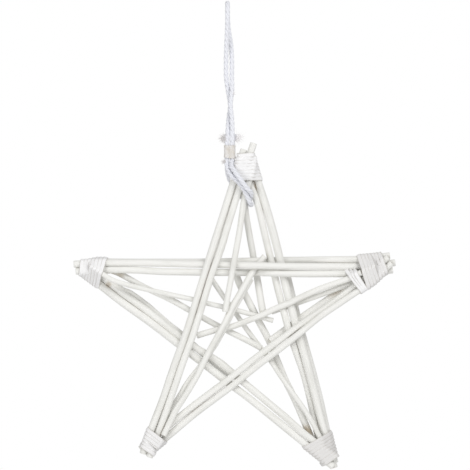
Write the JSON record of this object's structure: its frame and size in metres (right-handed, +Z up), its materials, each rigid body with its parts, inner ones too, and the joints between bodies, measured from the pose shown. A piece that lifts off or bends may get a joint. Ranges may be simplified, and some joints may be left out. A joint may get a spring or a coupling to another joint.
{
  "type": "wicker star decoration",
  "caption": "Hanging five-pointed star of painted willow rods woven over and under each other, bound with flat cane at each point and hung from a folded cotton rope.",
  "frame": {"origin": "inner top of the rope's loop, where a nail or hook holds it", "axes": "+Z up and +X to the right as the star hangs, -Y out of its front"},
  "size_m": [0.321, 0.0448, 0.4718],
  "materials": {
    "painted_willow": "thin matt off-white paint, greyer in the hollows",
    "cane_binding": "off-white painted cane, low sheen",
    "cotton_rope": "soft twisted cotton, cool white",
    "rope_tape": "matt cream tape"
  },
  "bodies": {
    "root": {"crossbar_middle_rod": "painted_willow", "crossbar_lower_rod": "painted_willow", "crossbar_upper_rod": "painted_willow", "left_leg_outer_rod": "painted_willow", "left_leg_inner_rod": "painted_willow", "left_leg_back_rod": "painted_willow", "right_leg_outer_rod": "painted_willow", "right_leg_inner_rod": "painted_willow", "right_leg_back_rod": "painted_willow", "falling_lower_rod": "painted_willow", "falling_upper_rod": "painted_willow", "rising_upper_rod": "painted_willow", "rising_lower_rod": "painted_willow", "top_front_filler": "painted_willow", "top_back_filler": "painted_willow", "lower_left_front_filler": "painted_willow", "lower_left_back_filler": "painted_willow", "right_upper_filler": "painted_willow", "right_lower_filler": "painted_willow", "right_back_filler": "painted_willow", "left_lower_filler": "painted_willow", "left_upper_filler": "painted_willow", "left_back_filler": "painted_willow", "lower_right_left_filler": "painted_willow", "lower_right_right_filler": "painted_willow", "top_cane_binding": "cane_binding", "left_cane_binding": "cane_binding", "right_cane_binding": "cane_binding", "lower_left_cane_binding": "cane_binding", "lower_right_cane_binding": "cane_binding", "hanging_rope": "cotton_rope", "rope_tape": "rope_tape"}
  },
  "joints": []
}
